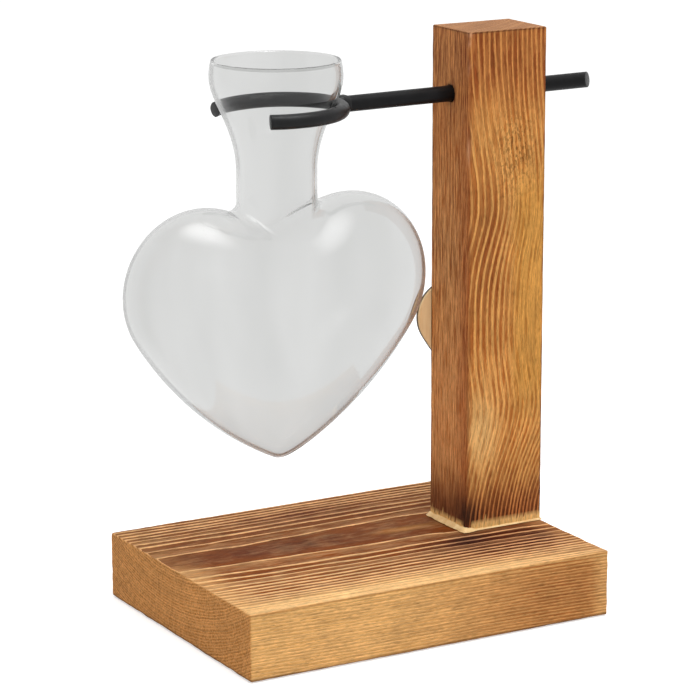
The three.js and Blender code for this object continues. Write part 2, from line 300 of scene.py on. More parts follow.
def stretched(across, length, along):
    """Waves per metre for a noise that is drawn out along one axis."""
    return tuple(length if axis == along else across for axis in range(3))


def wood_look(name, along, gloss):
    """Torched and brushed softwood: pale hard lines with brown soft wood between them. The mesh
    brings the rings' count, how many there are to a millimetre, the lines' width, the two colours
    and the marks, along is the axis of the grain, and gloss is the specular level."""
    look = Look(name)
    split = look.add("SeparateXYZ", {0: look.coordinates}).outputs
    lengthwise = {0: look.field("ring"), 1: split[along], 2: split[1 if along == 2 else 2]}
    with_rings = look.add("CombineXYZ", lengthwise).outputs[0]
    fibres = look.noise((4.5, 55, 30), 4, 0.7, 3.1, over=with_rings)
    threads = look.noise((9, 130, 60), 2, 0.6, 8.8, over=with_rings)
    rough = look.noise(stretched(2600, 420, along), 3, 0.6, 4.9)
    pores = look.noise(stretched(3000, 260, along), 3, 0.6, 7.7)
    wander = look.noise(stretched(260, 30, along), 2, 0.5, 1.3)
    combs = look.noise(stretched(1500, 75, along), 3, 0.7, 2.6)
    breaks = look.noise(stretched(430, 85, along), 3, 0.6, 6.3)
    specks = look.noise(stretched(1150, 700, along), 2, 0.5, 9.4)
    marks = look.add("SeparateColor", {0: look.field("marks", "Color")}).outputs
    combed, broken, dotted = marks[0], marks[1], marks[2]

    # The lines, each at the middle of its ring, with ragged sides
    count, line = look.field("pitch"), look.field("line")
    aside = look.scaled(fibres, 0.5, -0.25)
    aside = look.scaled(rough, 0.5, look.calc("SUBTRACT", aside, 0.25))
    aside = look.scaled(wander, 0.4, look.calc("SUBTRACT", aside, 0.2))
    rings = look.scaled(aside, count, look.field("ring"))
    phase = look.calc("FRACT", rings)
    each = look.add("TexWhiteNoise", {"W": look.calc("FLOOR", rings)}, noise_dimensions="1D")
    each = each.outputs["Value"]
    peak = look.calc("ABSOLUTE", look.scaled(phase, 2, -1))
    far = look.calc("DIVIDE", look.calc("SUBTRACT", 1, peak), look.times(count, 2))
    half = look.times(line, look.scaled(each, 0.4, 0.3))
    near, clear_of = look.calc("SUBTRACT", half, 0.25), look.calc("ADD", half, 0.35)
    brown = look.spread(far, near, clear_of, smooth=True)
    depth = look.scaled(each, 0.25, 0.74)
    depth = look.scaled(phase, 0.25, depth)
    depth = look.times(depth, look.spread(fibres, 0.3, 0.7, 0.78, 1.2))
    gone = look.spread(breaks, 0.42, 0.56, -0.95, 0.2)
    depth = look.times(depth, look.scaled(gone, broken, 1))
    brown = look.times(brown, depth, clamp=True)
    comb = look.calc("SUBTRACT", look.spread(combs, 0.42, 0.60), brown)
    brown = look.scaled(comb, combed, brown)
    color = look.mix(brown, look.field("pale", "Color"), look.field("brown", "Color"))

    # Streaks, pores and dots over both colours
    streaks = look.spread(fibres, 0.25, 0.75, 0.66, 1.34)
    streaks = look.times(streaks, look.spread(threads, 0.3, 0.7, 0.86, 1.14))
    grit = look.spread(rough, 0.3, 0.7, 0.80, 1.20)
    grit = look.times(grit, look.spread(combs, 0.3, 0.7, 0.90, 1.10))
    dots = look.spread(pores, 0.56, 0.70, 1.0, 0.62)
    dark = look.times(look.spread(specks, 0.50, 0.60, 0.0, 0.5), dotted)
    dots = look.times(dots, look.calc("SUBTRACT", 1, dark))
    mottle = look.spread(look.noise((60, 60, 60), 3, 0.6, 5.5), 0.3, 0.7, 0.90, 1.10)
    shade = look.times(look.times(streaks, dots), look.times(mottle, grit))
    tint = look.add("CombineColor", {"Red": shade, "Green": shade, "Blue": shade})
    color = look.mix(1.0, color, tint.outputs[0], "MULTIPLY")
    height = look.scaled(brown, -0.7, fibres)
    height = look.scaled(pores, 0.35, height)
    height = look.scaled(rough, 0.3, height)
    sockets = {
        "Base Color": color,
        "Roughness": look.spread(fibres, 0.2, 0.8, 0.58, 0.80),
        "Specular IOR Level": gloss,
        "Normal": look.bump(height, 0.2, 0.7),
    }
    return look.surface(sockets)


def steel_look(name, gloss):
    """Satin black paint over steel wire, with bare metal where the wire was cropped."""
    look = Look(name)
    peel = look.noise((900, 900, 900), 2, 0.5, 2.2)
    wear = look.noise((150, 150, 150), 4, 0.6, 9.1)
    color = look.mix(look.spread(wear, 0.35, 0.75), paint(7, 7, 8), paint(16, 16, 18))
    bare = look.times(look.field("bare"), look.spread(wear, 0.40, 0.52), clamp=True)
    color = look.mix(bare, color, paint(190, 188, 182))
    sockets = {
        "Base Color": color,
        "Metallic": bare,
        "Roughness": look.spread(peel, 0.3, 0.7, 0.36, 0.48),
        "Specular IOR Level": gloss,
        "Normal": look.bump(peel, 0.03, 0.5),
    }
    return look.surface(sockets)


def glue_look():
    look = Look("dried glue")
    stain = look.noise((220, 220, 220), 4, 0.6, 4.4)
    fine = look.noise((1500, 1500, 900), 3, 0.6, 6.1)
    color = look.mix(look.spread(stain, 0.35, 0.65), paint(250, 218, 160), paint(222, 176, 112))
    sockets = {
        "Base Color": color,
        "Roughness": look.spread(fine, 0.3, 0.7, 0.42, 0.62),
        "Normal": look.bump(fine, 0.08, 0.6),
    }
    return look.surface(sockets)


def ply_look():
    """Thin plywood cut by a laser: pale faces with fine grain, scorched edges."""
    look = Look("plywood")
    grain = look.noise((900, 900, 35), 4, 0.6, 8.2)
    soft = look.noise((90, 90, 12), 2, 0.5, 2.9)
    color = look.mix(look.spread(grain, 0.3, 0.7), paint(250, 222, 174), paint(236, 198, 146))
    color = look.mix(look.spread(soft, 0.4, 0.7), color, paint(242, 208, 158))
    color = look.mix(look.spread(look.field("scorch"), 0.25, 0.6), color, paint(58, 36, 22))
    sockets = {
        "Base Color": color,
        "Roughness": look.spread(grain, 0.3, 0.7, 0.6, 0.78),
        "Specular IOR Level": 0.3,
        "Normal": look.bump(grain, 0.05, 0.5),
    }
    return look.surface(sockets)


def screw_look():
    look = Look("yellow zinc")
    cloud = look.noise((400, 400, 400), 3, 0.6, 3.7)
    turned = look.noise((500, 500, 9000), 2, 0.5, 1.9)
    color = look.mix(look.spread(cloud, 0.3, 0.7), paint(214, 196, 140), paint(196, 168, 120))
    sockets = {
        "Base Color": color,
        "Metallic": 1.0,
        "Roughness": look.spread(turned, 0.3, 0.7, 0.28, 0.42),
        "Normal": look.bump(turned, 0.02, 0.4),
    }
    return look.surface(sockets)


def glass_look(name, outside):
    """Clear blown glass with soft unevenness in its skin. Its faint grey, on the skin that light leaves
    by, and the soft lighter and darker bands in that grey are painted shade and painted reflection:
    they stand in for the darker surroundings seen through the glass and the light it reflects. The
    outer skin has the gloss. The inner one darkens where it turns edge on, a painted shade that draws
    the grey line inside the light band of the outline. There is no such line near the cleft."""
    cleft_height = 0.157  # metres
    look = Look(name)
    flow = look.noise((26, 26, 14), 2, 0.4, 6.6)
    seeds = look.noise((500, 500, 220), 2, 0.5, 1.1)
    height = look.scaled(seeds, 0.0008, flow)
    leaving = look.add("NewGeometry").outputs["Backfacing"]
    edge = look.add("LayerWeight", {"Blend": 0.5}).outputs["Facing"]
    clear = (0.95, 0.952, 0.95)
    haze = look.spread(seeds, 0.3, 0.7, 0.0, 0.03)
    if outside:
        # Painted shade and painted reflection: grey for the darker surroundings seen through the glass,
        # in bands for reflected light
        waves = look.spread(look.noise((40, 40, 9), 2, 0.45, 3.3), 0.32, 0.68)
        grey = look.mix(waves, (0.485, 0.49, 0.481), (0.59, 0.595, 0.586))
        body = look.mix(leaving, clear, grey)
        skin = look.spread(edge, 0.70, 0.97, 0.8, 0.10)
        gloss = look.times(look.calc("SUBTRACT", 1, leaving), skin)
    else:
        # Painted shade: the inner skin goes nearly black where it turns edge on, which draws the grey
        # line inside the outline, but not near the cleft
        height_at = look.add("SeparateXYZ", {0: look.coordinates}).outputs[2]
        from_cleft = look.calc("ABSOLUTE", look.calc("SUBTRACT", height_at, cleft_height))
        painted_edge_shade = look.times(leaving, look.spread(edge, 0.50, 0.55, 0.0, 0.65, smooth=True))
        rim = look.calc("MAXIMUM", painted_edge_shade, look.spread(edge, 0.90, 0.985, smooth=True))
        rim = look.times(rim, look.spread(from_cleft, 0.008, 0.014))
        body = look.mix(rim, clear, (0.03, 0.033, 0.032))
        gloss = 0.0
        mirror = look.times(leaving, look.spread(edge, 0.46, 0.58, 0.0, 0.35))
        haze = look.calc("ADD", haze, mirror)
    sockets = {
        "Base Color": body,
        "Transmission Weight": 1.0,
        "IOR": 1.12,
        "Coat Weight": gloss,
        "Coat IOR": 1.5,
        "Coat Roughness": 0.07,
        "Roughness": haze,
        "Normal": look.bump(height, 0.9, 0.5),
    }
    glass = look.add("BsdfPrincipled", sockets).outputs[0]
    lamps = look.add("LightPath").outputs["Is Shadow Ray"]
    through = look.add("BsdfTransparent", {"Color": (0.93, 0.935, 0.93, 1)}).outputs[0]
    return look.finish(look.add("MixShader", {0: lamps, 1: glass, 2: through}).outputs[0])


def dress(obj, look, body, node):
    """The object's material and body, and the CAD node that it stands for, which is hidden."""
    obj.data.materials.clear()
    obj.data.materials.append(look)
    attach(obj, body)
    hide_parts(node)


def node_box(name):
    """A CAD node's box in millimetres."""
    low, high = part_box(name)
    return np.array(low) / MM, np.array(high) / MM


# Timber


def lattice(low, high, pitch):
    """Places along one axis: close together at both ends, where the edges are rounded."""
    margin = np.array([0, 0.25, 0.5, 0.8, 1.2, 1.7])
    skirt = 2.3
    count = max(2, round((high - low - 2 * skirt) / pitch) + 1)
    inner = np.linspace(low + skirt, high - skirt, count)
    return np.concatenate([low + margin, inner, high - margin[::-1]])


def timber(name, low, high, pitch, edge, seed):
    """A block with a fine skin and edges worn unevenly round."""
    axes = [lattice(low[a], high[a], pitch[a]) for a in range(3)]
    index, points, faces = {}, [], []

    def at(i, j, k):
        if (i, j, k) not in index:
            index[i, j, k] = len(points)
            points.append((axes[0][i], axes[1][j], axes[2][k]))
        return index[i, j, k]

    for axis in range(3):
        u, v = [a for a in range(3) if a != axis]
        for end in (0, len(axes[axis]) - 1):
            for i in range(len(axes[u]) - 1):
                for j in range(len(axes[v]) - 1):
                    corners = []
                    for di, dj in ((0, 0), (1, 0), (1, 1), (0, 1)):
                        place = [0, 0, 0]
                        place[axis], place[u], place[v] = end, i + di, j + dj
                        corners.append(at(*place))
                    outward = (end > 0) == (axis != 1)
                    faces.append(tuple(corners if outward else corners[::-1]))
    points = np.array(points)
    worn = 1 + 0.14 * drift(points, (24, 24, 24), seed) + 0.16 * drift(points, (5, 5, 5), seed + 1)
    worn = np.clip(worn * edge, 0.35 * edge, 2.4)[:, None]
    core = np.clip(points, low + worn, high - worn)
    away = points - core
    length = np.maximum(np.linalg.norm(away, axis=1, keepdims=True), 1e-9)
    rounded = np.where(length > 1e-6, core + away / length * worn, points)
    return mesh_object(name, rounded, faces)


def sides_of(normals):
    """How much each point faces left, right, front, back, down and up."""
    parts = {}
    for axis, (minus, plus) in enumerate((("left", "right"), ("front", "back"), ("down", "up"))):
        parts[minus] = np.clip(-normals[:, axis], 0, 1) ** 2
        parts[plus] = np.clip(normals[:, axis], 0, 1) ** 2
    total = np.maximum(sum(parts.values()), 1e-6)
    return {name: part / total for name, part in parts.items()}


def on_sides(sides, front, left, up, down):
    """A value or a colour for each side, joined by how much a point faces that side. The back has
    the front's, and the right side the left's."""
    weights = (sides["front"] + sides["back"], sides["left"] + sides["right"], sides["up"], sides["down"])
    result = 0
    for weight, value in zip(weights, (front, left, up, down)):
        value = np.asarray(value, float)
        if value.ndim == 2 or value.shape == (3,):
            weight = weight[:, None]
        result = result + weight * value
    return result


def rings_per_mm(ring_at, points, normals):
    """How fast the rings pass across the surface, which sets the width of their lines."""
    step = 0.05
    total = np.zeros(len(points))
    for axis in range(3):
        ahead = np.zeros(3)
        ahead[axis] = step
        slope = (ring_at(points + ahead) - ring_at(points - ahead)) / (2 * step)
        total += slope**2 * (1 - normals[:, axis] ** 2)
    return np.clip(np.sqrt(total), 0.02, 2)


def brush(obj, ring_at, sides, line, depth, **fields):
    """Hands the rings, their lines and the other fields to the material, and sinks the soft brown
    wood between the hard pale lines."""
    points, normals = points_of(obj), normals_of(obj)
    ring, pitch = ring_at(points), rings_per_mm(ring_at, points, normals)
    give(obj, ring=ring, pitch=pitch, line=line, **fields)
    far = (1 - np.abs(2 * (ring % 1) - 1)) / (2 * pitch)
    soft = rise(far, line / 2 - 0.25, line / 2 + 0.35)
    flat = rise(np.max(list(sides.values()), axis=0), 0.6, 0.98)
    set_points(obj, points - normals * (soft * (depth * flat))[:, None])


def screw_rooms():
    """Cutters for the two screws, with their heads' room at the base's underside."""
    head, shank, length = 4.3, 2.3, 46
    tools = []
    for name in SCREWS:
        low, high = node_box(name)
        x, y, _ = (low + high) / 2
        z = low[2]
        profile = ((head, z - 2), (head, z + 0.3), (shank, z + 2.3), (shank, z + length))
        rows = [
            [(x + r * math.cos(t), y + r * math.sin(t), at_z) for t in around(32)] for r, at_z in profile
        ]
        tools.append(tube("tool", rows, cap=True))
    return tools


def base_board():
    board = timber("pine_base", *node_box("base_board"), (2.4, 0.6, 0.9), 0.8, 11)
    carve(board, *screw_rooms())
    p = points_of(board)
    x, y, z = p.T
    sides = sides_of(normals_of(board))

    # The tree's pith runs along the board, high above it, so the top is flat sawn.
    def ring_at(q):
        along = q[:, 0] + 75
        across = q[:, 1] - (8.6 - 0.025 * along + 0.6 * np.sin(q[:, 0] / 21))
        ring = (np.hypot(across, 135 - q[:, 2]) - 110) / 1.09 + 0.62 - 0.0029 * along
        return ring + 0.10 * drift(q, (90, 16, 9), 21) + 0.05 * drift(q, (26, 5, 4), 22)

    # The flame's marks on the top
    def burn(at_x, at_y, reach_x, reach_y, reach_z=20):
        return spot(p, (at_x, at_y, BOARD_TOP), (reach_x, reach_y, reach_z))

    front_glow = rise(-y, 38, 54) * (1 - 0.45 * rise(x, 20, 60))
    left_glow = 1 - rise(x, -75, -58)
    right_end = rise(x, 64, 75)
    behind = rise(y, -2, 10)
    band = burn(-38, 8.5, 26, 7.5) + 0.6 * burn(6, 3, 34, 8)
    scorch = burn(37, -19, 9, 6, 10)
    halo = burn(48, -25, 37, 17)
    edge_burn = burn(72, -7, 9, 4.5)
    rear = burn(0, 41, 34, 9)
    streak = burn(24, 5.5, 12, 2.6)
    top_pale = coated(
        paint(230, 183, 129),
        ((240, 194, 134), 0.9 * front_glow),
        ((230, 182, 122), 0.6 * left_glow),
        ((196, 142, 98), 0.6 * rear + 0.5 * band + 0.3 * behind),
        ((214, 152, 104), 0.85 * halo),
        ((150, 104, 80), 0.8 * np.maximum(scorch, 0.8 * edge_burn)),
        ((216, 168, 114), 0.7 * right_end),
    )
    top_brown = coated(
        paint(128, 66, 22),
        ((214, 162, 98), 0.9 * front_glow),
        ((196, 144, 90), 0.8 * left_glow),
        ((114, 64, 32), 0.75 * behind),
        ((96, 50, 28), 0.9 * rear + 0.95 * band),
        ((72, 28, 12), 1.3 * halo),
        ((44, 22, 16), 0.9 * np.maximum(scorch, edge_burn)),
        ((176, 122, 66), 0.85 * streak),
        ((160, 104, 58), 0.6 * right_end),
    )

    # The sawn sides
    below_post = rise(x, -30, 62) * (1 - 0.7 * rise(x, 66, 74))
    upper_edge = rise(z, 23.8, 24.4) * (1 - 0.6 * below_post)
    # The bottom edge is darker, along where the board stands on the floor
    lower_edge = (1 - rise(z, 0.3, 1.3)) * (1 - sides["down"])
    knot = spot(p, (16.6, BOARD_FRONT, 14.1), (0.8, 3, 1.1))
    front_pale = coated(
        paint(228, 178, 116),
        ((200, 144, 85), below_post),
        ((228, 180, 114), 0.6 * rise(z, 21, BOARD_TOP)),
        ((178, 122, 68), 0.7 * upper_edge),
    )
    front_brown = coated(
        paint(206, 154, 90),
        ((158, 96, 48), below_post),
        ((128, 68, 36), 0.7 * spot(p, (58, BOARD_FRONT, 12), (22, None, 9))),
        ((150, 96, 48), 0.7 * upper_edge),
    )
    end_brown = coated(paint(172, 112, 54), ((150, 94, 48), 0.6 * rise(y, 30, 56)))

    pale = on_sides(
        sides, front=front_pale, left=paint(218, 156, 92), up=top_pale, down=paint(206, 158, 102)
    )
    pale = coated(pale, ((96, 66, 44), 0.85 * lower_edge + 1.2 * knot))
    brown = on_sides(sides, front=front_brown, left=end_brown, up=top_brown, down=paint(180, 128, 74))
    brown = coated(brown, ((70, 46, 32), 0.9 * lower_edge + 1.2 * knot))
    line = on_sides(sides, front=0.5, left=0.45, up=1.1, down=0.7)
    line = line * (1 + (0.5 * front_glow - 0.25 * halo) * sides["up"])
    combed = on_sides(sides, front=0.08, left=0.22, up=0, down=0.3)
    broken = on_sides(sides, front=0.18, left=0.5, up=0.15, down=0.6)
    broken = broken * (1 - 0.9 * np.clip(halo + scorch, 0, 1))
    marks = np.column_stack([combed, broken, 0.5 * sides["left"]])
    depth = on_sides(sides, front=0.3, left=0.15, up=1.0, down=0) * 0.24
    brush(board, ring_at, sides, line, depth, marks=marks, pale=pale, brown=brown)
    dress(board, wood_look("torched pine, base", 0, 0.06), "stand", "base_board")


def rod_line(at_x):
    """Height of the rod's axis over a place along X."""
    return ROD_Z + (at_x - ROD_X) * math.tan(ROD_SLOPE)


def post():
    low, high = node_box("post")
    block = timber("pine_post", low, high, (0.6, 0.6, 1.8), 0.55, 31)
    ends = (low[0] - 3, high[0] + 3)
    bore_rows = bar_rows([(x, ROD_Y, rod_line(x), BORE_RADIUS) for x in ends], 40)
    bore = tube("tool", bore_rows, cap=True)
    carve(block, bore, *screw_rooms())
    p = points_of(block)
    x, y, z = p.T
    sides = sides_of(normals_of(block))

    # The rings bow round knots that were cut away with the neighbouring boards.
    def ring_at(q):
        x, y, z = q.T
        upper = 7.5 * np.exp(-(((z - 150) / np.where(z > 150, 32, 20)) ** 2))
        lower = 3.0 * np.exp(-(((z - 72) / 15) ** 2))
        foot_lean = -6.5 * (1 - rise(z, 22, 64))
        bow = (upper * (1 - 0.35 * rise(x, 54, 74)) + lower + foot_lean) * (1 - 0.9 * rise(y, -9, 4))
        ring = np.hypot(x - bow + 4.5, y - 100) / 1.15
        ring += 0.10 * (x - 41.4) * (1 - rise(z, 30, 74))
        return ring + 0.10 * drift(q, (16, 12, 80), 41) + 0.05 * drift(q, (5, 5, 24), 42)

    # The front, from the charred foot to the brown crown
    def patch(at_x, at_z, reach_x, reach_z):
        return spot(p, (at_x, POST_FRONT, at_z), (reach_x, None, reach_z))

    speckle = spot(p, (62, POST_FRONT, 169), (9, 9, 17))
    gold = rise(x, 58, 66) * rise(z, 58, 84) * (1 - rise(z, 148, 172))
    fresh = patch(48, 62, 7, 15)
    strong = patch(50, 134, 9, 36)
    light = patch(50, 180, 5, 12)
    char = 1 - rise(z, 27, 46)
    crown = rise(z, 172, 200)
    corner = (1 - rise(x, 41.4, 43.8)) * (1 - 0.75 * crown)
    rim = 1 - rise(POST_RIGHT - x, 0.2, 0.9)
    front_pale = coated(
        paint(214, 154, 86),
        ((198, 130, 70), 0.8 * crown),
        ((204, 146, 70), 0.8 * gold),
        ((228, 182, 118), 0.8 * fresh),
        ((198, 112, 62), 0.8 * char),
        ((140, 76, 40), 0.85 * corner),
        ((118, 68, 40), 0.85 * rim),
    )
    front_brown = coated(
        paint(164, 94, 40),
        ((116, 54, 22), 0.9 * strong),
        ((122, 58, 26), 0.9 * crown),
        ((176, 118, 52), 0.85 * gold),
        ((184, 118, 56), 0.7 * speckle),
        ((190, 128, 66), 0.8 * light),
        ((202, 148, 86), 0.8 * fresh),
        ((112, 50, 20), 0.95 * (1 - rise(z, 34, 56))),
        ((62, 24, 12), char**1.5),
        ((106, 50, 24), 0.85 * corner),
        ((76, 40, 26), 0.9 * rim),
    )

    # The sides, darker towards the front and charred at the foot
    side_dark = rise(-y, 1, 9)
    side_char = 1 - rise(z, 30, 52)
    side_pale = coated(
        paint(240, 172, 108),
        ((204, 124, 68), 0.8 * side_dark),
        ((204, 132, 74), 0.7 * rise(z, 120, 176)),
        ((122, 62, 32), 0.85 * side_char),
    )
    side_brown = coated(
        paint(150, 80, 32),
        ((130, 60, 22), 0.8 * side_dark),
        ((60, 22, 10), 0.95 * side_char),
        ((112, 54, 28), 0.9 * crown),
        ((186, 108, 50), 0.9 * spot(p, (41, 6, 72), (None, 12, 28))),
    )

    # Marks that run over the edges: soot, worn lines, the unburnt foot, the bore's mouths, chips
    facing_side = sides["left"] + sides["right"]
    soot = spot(p, (POST_LEFT, -10, 31), (6.2, 6.6, 6.5))
    far_edge = rise(y, 14.9, 15.5) * facing_side
    top_edge = rise(z, 214.1, 214.7) * (1 - sides["up"])
    outline = 0.8 * np.maximum(far_edge, top_edge)
    from_corner = np.hypot(x - POST_LEFT, y - POST_FRONT)
    unburnt = 25.4 + 2.6 * rise(from_corner, 0.2, 4.5) + 0.9 * drift(p, (1.1, 1.1, 40), 43)
    foot = (1 - rise(z, unburnt - 0.2, unburnt + 0.5)) * (1 - sides["down"])
    hole = np.hypot(y - ROD_Y, z - ROD_Z)
    burnt = (1 - rise(hole, BORE_RADIUS, 4.1)) * facing_side
    chips = 0
    for at_x, at_z, reach in (
        (41.6, 172, (0.9, 0.9, 5)),
        (41.6, 202, (0.7, 0.8, 2.2)),
        (41.9, 214, (1.3, 1.2, 1.3)),
        (41.6, 210.5, (0.7, 0.8, 1.2)),
    ):
        chips = chips + spot(p, (at_x, -10, at_z), reach)
    end_pale, end_brown = paint(182, 132, 90), paint(108, 62, 36)
    pale = coated(
        on_sides(sides, front=front_pale, left=side_pale, up=end_pale, down=end_pale),
        ((64, 42, 34), 0.6 * soot),
        ((92, 56, 36), outline),
        ((236, 194, 128), foot),
        ((90, 60, 40), 0.6 * burnt),
        ((232, 172, 128), 0.8 * np.clip(chips, 0, 1)),
    )
    brown = coated(
        on_sides(sides, front=front_brown, left=side_brown, up=end_brown, down=end_brown),
        ((36, 22, 18), soot),
        ((64, 38, 28), outline),
        ((226, 178, 110), foot),
        ((60, 38, 28), 0.8 * burnt),
    )

    line = on_sides(sides, front=0.95, left=0.34, up=0.8, down=0.5)
    wide = 0.3 * gold + 0.5 * fresh - 0.4 * (1 - rise(z, 40, 60)) - 0.3 * crown - 0.15 * strong
    line = line * (1 + wide * sides["front"])
    combed = on_sides(sides, front=0.12, left=0.85, up=0.3, down=0.3)
    loose = 0.3 + 0.6 * np.clip(gold + fresh + light + speckle, 0, 1)
    loose += 0.3 * rise(z, 60, 72) * (1 - rise(z, 92, 112))
    broken = loose * rise(z, 30, 44) * (1 - 0.8 * strong)
    marks = np.column_stack([combed, broken * sides["front"], speckle])
    clear_of_joints = (hole > 3.6) & (z > 25.2)
    depth = on_sides(sides, front=1.0, left=0.6, up=0.2, down=0) * (0.16 * clear_of_joints)
    brush(block, ring_at, sides, line, depth, marks=marks, pale=pale, brown=brown)
    dress(block, wood_look("torched pine, post", 2, 0.09), "stand", "post")


def glue_bead():
    """Glue squeezed out round the post's foot, uneven and pinched in places."""
    low, high = (corner[:2] for corner in node_box("post"))
    corners = np.array([low, (high[0], low[1]), high, (low[0], high[1])])
    path = []
    for start, end in zip(corners, np.roll(corners, -1, axis=0)):
        steps = round(math.dist(start, end) / 0.7)
        path += [start + (end - start) * (step / steps) for step in range(steps)]
    path = np.array(path)
    flat = np.column_stack([path, np.full(len(path), BOARD_TOP)])
    size = 1 + 0.22 * drift(flat, (9, 9, 9), 51) + 0.12 * drift(flat, (3, 3, 3), 52)
    size *= 0.35 + 0.65 * (1 - rise(path[:, 0], low[0], low[0] + 10))
    size = np.clip(size, 0.3, 1.15)
    off_middle = (path - (low + high) / 2) / ((high - low) / 2)
    out = np.where(np.abs(off_middle) > 0.999, np.sign(off_middle), 0)
    out /= np.maximum(np.linalg.norm(out, axis=1, keepdims=True), 1e-9)
    on_board = ((-0.25, 0.0), (0.9, 0.0), (1.62, 0.02), (1.5, 0.22))
    up_post = ((0.95, 0.5), (0.55, 0.95), (0.28, 1.42), (-0.25, 1.5))
    rows = []
    for at, way, s in zip(path, out, size):
        row = []
        for across, up in on_board + up_post:
            reach = across * s if across > 0 else across
            row.append((*(at + way * reach), BOARD_TOP + up * s))
        rows.append(row)
    bead = tube("glue_squeeze", rows, close_rows=True)
    with opened(bead.data) as bm:
        bmesh.ops.recalc_face_normals(bm, faces=bm.faces)
    dress(bead, glue_look(), "stand", "glue_bead")


def heart_plaque():
    """The plywood heart: its edges are eased, and scorched by the cut, most towards the back face."""
    mid_depth = 16.8
    mesh = bpy.data.meshes.new("plywood_heart")
    with opened(mesh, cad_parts["heart_plaque"].data) as bm:
        bmesh.ops.remove_doubles(bm, verts=bm.verts, dist=0.01 * MM)
        bmesh.ops.dissolve_limit(bm, angle_limit=math.radians(1), verts=bm.verts, edges=bm.edges)
        rims = [e for e in bm.edges if e.calc_face_angle(0) > math.radians(60)]
        bmesh.ops.bevel(bm, geom=rims, offset=0.16 * MM, segments=2, affect="EDGES")
        broad = [f for f in bm.faces if abs(f.normal.y) > 0.9 and f.calc_area() > 100 * MM**2]
        rings = []
        for thickness in (0.12, 0.2, 0.4):
            rings.append({v for f in broad for v in f.verts})
            bmesh.ops.inset_region(bm, faces=broad, thickness=thickness * MM)
        plain = {v for f in broad for v in f.verts}
        bmesh.ops.triangulate(bm, faces=broad)
        bm.verts.index_update()
        scorch = np.array([0.15 if v.co.y < mid_depth * MM else 1.0 for v in bm.verts])
        for ring, amount in ((rings[1], 0.15), (rings[2], 0.05), (plain, 0.0)):
            for v in ring:
                scorch[v.index] = amount
    shade_smooth(mesh)
    obj = added("plywood_heart", mesh)
    give(obj, scorch=scorch)
    mark_flat(obj, 30)
    dress(obj, ply_look(), "stand", "heart_plaque")


# Hanger

WIRE_RADIUS = 2.7
RING_RADIUS = 23.8
RING_OUTSIDE = RING_RADIUS + WIRE_RADIUS
ARM = 90.0  # from the post's middle to the ring's centre


def hanger_frame():
    """From the hanger's own axes, with the ring's centre as origin, to the row frame."""
    turn = Matrix.Rotation(-ROD_SLOPE, 4, "Y")
    return Matrix.Translation((ROD_X, ROD_Y, ROD_Z)) @ turn @ Matrix.Translation((-ARM, 0, 0))


def place(points, matrix):
    m = np.array(matrix)
    return points @ m[:3, :3].T + m[:3, 3]


def hang(obj, look, node, seat=Matrix(), limit=40, bare=None):
    """Puts a piece that was made in the hanger's own axes in its place. Bare is where steel shows."""
    points = points_of(obj)
    set_points(obj, place(points, hanger_frame() @ seat))
    mark_flat(obj, limit)
    give(obj, bare=np.zeros(len(points)) if bare is None else bare)
    dress(obj, look, "hanger", node)


def crop(obj, point, normal, ease):
    """Cuts the mesh off flat past a plane, caps it, and eases the new edge."""
    with opened(obj.data) as bm:
        cut = bmesh.ops.bisect_plane(
            bm,
            geom=bm.verts[:] + bm.edges[:] + bm.faces[:],
            plane_co=Vector(point) * MM,
            plane_no=normal,
            clear_outer=True,
        )
        rim = [e for e in cut["geom_cut"] if isinstance(e, bmesh.types.BMEdge)]
        bmesh.ops.holes_fill(bm, edges=rim, sides=0)
        bmesh.ops.bevel(bm, geom=rim, offset=ease * MM, segments=3, affect="EDGES", profile=0.5)
        bmesh.ops.recalc_face_normals(bm, faces=bm.faces)
    shade_smooth(obj.data)


def mark_flat(obj, limit):
    """Keeps smooth shading from running over sharp corners."""
    obj.data.set_sharp_from_angle(angle=math.radians(limit))


def ring_gap(at_x, at_y, lean, shift):
    """A block that crops one end of the ring: its cutting face's place, turn and sideways shift."""
    long, wide, tall = RING_RADIUS + 6, 32, 14
    mesh = bpy.data.meshes.new("tool")
    with opened(mesh) as bm:
        bmesh.ops.create_cube(bm, size=1)
        bm.transform(
            Matrix.Translation(Vector((at_x, at_y, 0)) * MM)
            @ Matrix.Rotation(math.radians(lean), 4, "Z")
            @ Matrix.Translation(Vector((-long / 2, shift, 0)) * MM)
            @ Matrix.Diagonal((long * MM, wide * MM, tall * MM, 1))
        )
    return added("tool", mesh)


def hanger_ring(look):
    """The open ring of bent wire, its ends cropped flat."""
    rows = []
    for t in around(240):
        out = np.array([math.cos(t), math.sin(t), 0])
        wobble = 0.05 * math.sin(3 * t + 0.4) + 0.03 * math.sin(7 * t)
        wobble -= 1.0 * math.exp(-(((t - 2.45) / 0.7) ** 2))
        row = []
        for a in around(32):
            reach = RING_RADIUS + WIRE_RADIUS * math.cos(a)
            row.append(out * reach + np.array([0, 0, WIRE_RADIUS * math.sin(a) + 0.6 * wobble]))
        rows.append(row)
    ring = tube("wire_ring", rows, close_rows=True)
    carve(ring, ring_gap(-13.2, -20.1, lean=-20, shift=6), ring_gap(-15.6, 18, lean=0, shift=-3))
    near_gap = -11.9 * MM
    with opened(ring.data) as bm:
        bmesh.ops.remove_doubles(bm, verts=bm.verts, dist=0.005 * MM)
        rims = [e for e in bm.edges if e.calc_face_angle(0) > math.radians(35)]
        rims = [e for e in rims if all(v.co.x < near_gap for v in e.verts)]
        bmesh.ops.bevel(bm, geom=rims, offset=0.28 * MM, segments=3, affect="EDGES", profile=0.5)
    seat = (
        Matrix.Translation((RING_RADIUS, 0, 0.4))
        @ Matrix.Rotation(-math.radians(0.7), 4, "Y")
        @ Matrix.Translation((-RING_RADIUS, 0, 0))
    )
    shade_smooth(ring.data)
    hang(ring, look, "hanger_ring", seat)


